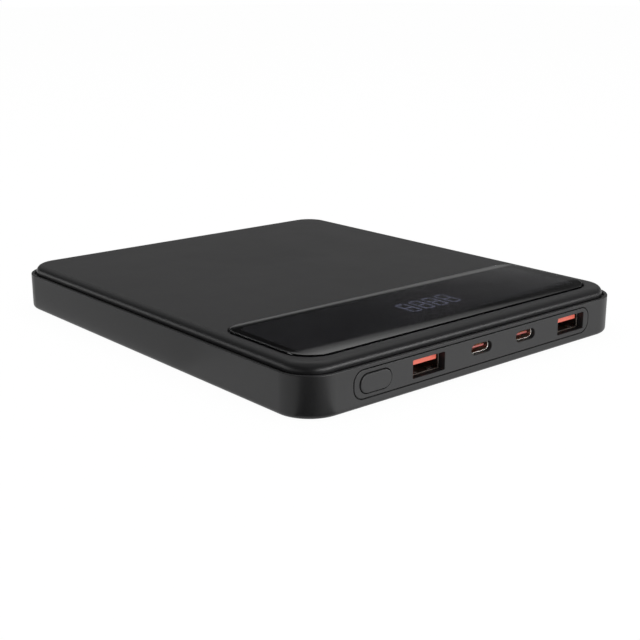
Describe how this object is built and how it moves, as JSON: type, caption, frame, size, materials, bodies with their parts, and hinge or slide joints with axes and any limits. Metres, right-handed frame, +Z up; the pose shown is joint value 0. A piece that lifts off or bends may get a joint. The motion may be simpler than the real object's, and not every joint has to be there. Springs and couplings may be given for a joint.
{
  "type": "power bank",
  "caption": "Flat slab power bank with USB-A and USB-C sockets in an inlaid panel on one narrow side, a pill-shaped power button and a digit display under a glossy panel.",
  "frame": {"origin": "middle of the bottom face", "axes": "+X to the right along the socket side, +Y from the socket side to the back, +Z up"},
  "size_m": [0.142, 0.1653, 0.0163],
  "materials": {
    "case_plastic": "fine matt grain",
    "cover_plastic": "fine matt grain",
    "lens_plastic": "polished, tinted",
    "panel_plastic": "satin",
    "button_plastic": "satin",
    "socket_steel": "bright nickel plate",
    "socket_plastic_orange": "moulded",
    "contact_gold": "gold plate",
    "board_laminate": "solder mask",
    "chip_epoxy": "moulded epoxy",
    "inductor_powder": "pressed iron powder",
    "capacitor_can": "satin",
    "screw_steel": "zinc plate",
    "switch_plastic": "moulded",
    "plunger_plastic": "moulded",
    "display_plastic": "black frame",
    "segment_plastic": "translucent, unlit",
    "tape_film": "adhesive film",
    "cell_foil": "laminated foil",
    "foam": "closed-cell foam",
    "nickel": "nickel strip",
    "polyimide_tape": "thin film",
    "lead_red": "silicone sleeve",
    "lead_black": "silicone sleeve"
  },
  "bodies": {
    "housing": {"case_tray": "case_plastic", "top_cover": "cover_plastic", "display_lens": "lens_plastic", "lens_tape": "tape_film", "display_module": "display_plastic", "display_segments": "segment_plastic", "port_panel": "panel_plastic", "switch_body": "switch_plastic", "main_board": "board_laminate", "board_screws": "screw_steel", "usb_a_shell_left": "socket_steel", "usb_a_shell_right": "socket_steel", "usb_a_tongue_left": "socket_plastic_orange", "usb_a_tongue_right": "socket_plastic_orange", "usb_a_contacts_left": "contact_gold", "usb_a_contacts_right": "contact_gold", "usb_c_shell_left": "socket_steel", "usb_c_shell_right": "socket_steel", "usb_c_tongue_left": "socket_plastic_orange", "usb_c_tongue_right": "socket_plastic_orange", "usb_c_contacts_left": "contact_gold", "usb_c_contacts_right": "contact_gold", "controller_chips": "chip_epoxy", "power_transistors": "chip_epoxy", "power_inductors": "inductor_powder", "capacitors": "capacitor_can", "cell_front_left": "cell_foil", "cell_front_right": "cell_foil", "cell_back_left": "cell_foil", "cell_back_right": "cell_foil", "cell_pads": "foam", "cell_tabs": "nickel", "cell_links": "nickel", "cell_tape": "polyimide_tape", "lead_positive": "lead_red", "lead_negative": "lead_black"},
    "button": {"power_button": "button_plastic"},
    "plunger": {"switch_plunger": "plunger_plastic"}
  },
  "joints": [
    {"name": "button_press", "type": "slide", "parent": "housing", "child": "button", "axis": [0, 1, 0], "range_m": [0, 0.0003], "stiffness_N_per_m": 4000},
    {"name": "plunger_press", "type": "slide", "parent": "housing", "child": "plunger", "axis": [0, 1, 0], "range_m": [0, 0.0003]}
  ],
  "couplings": [
    {"joint": "plunger_press", "follows": "button_press", "ratio": 1}
  ]
}
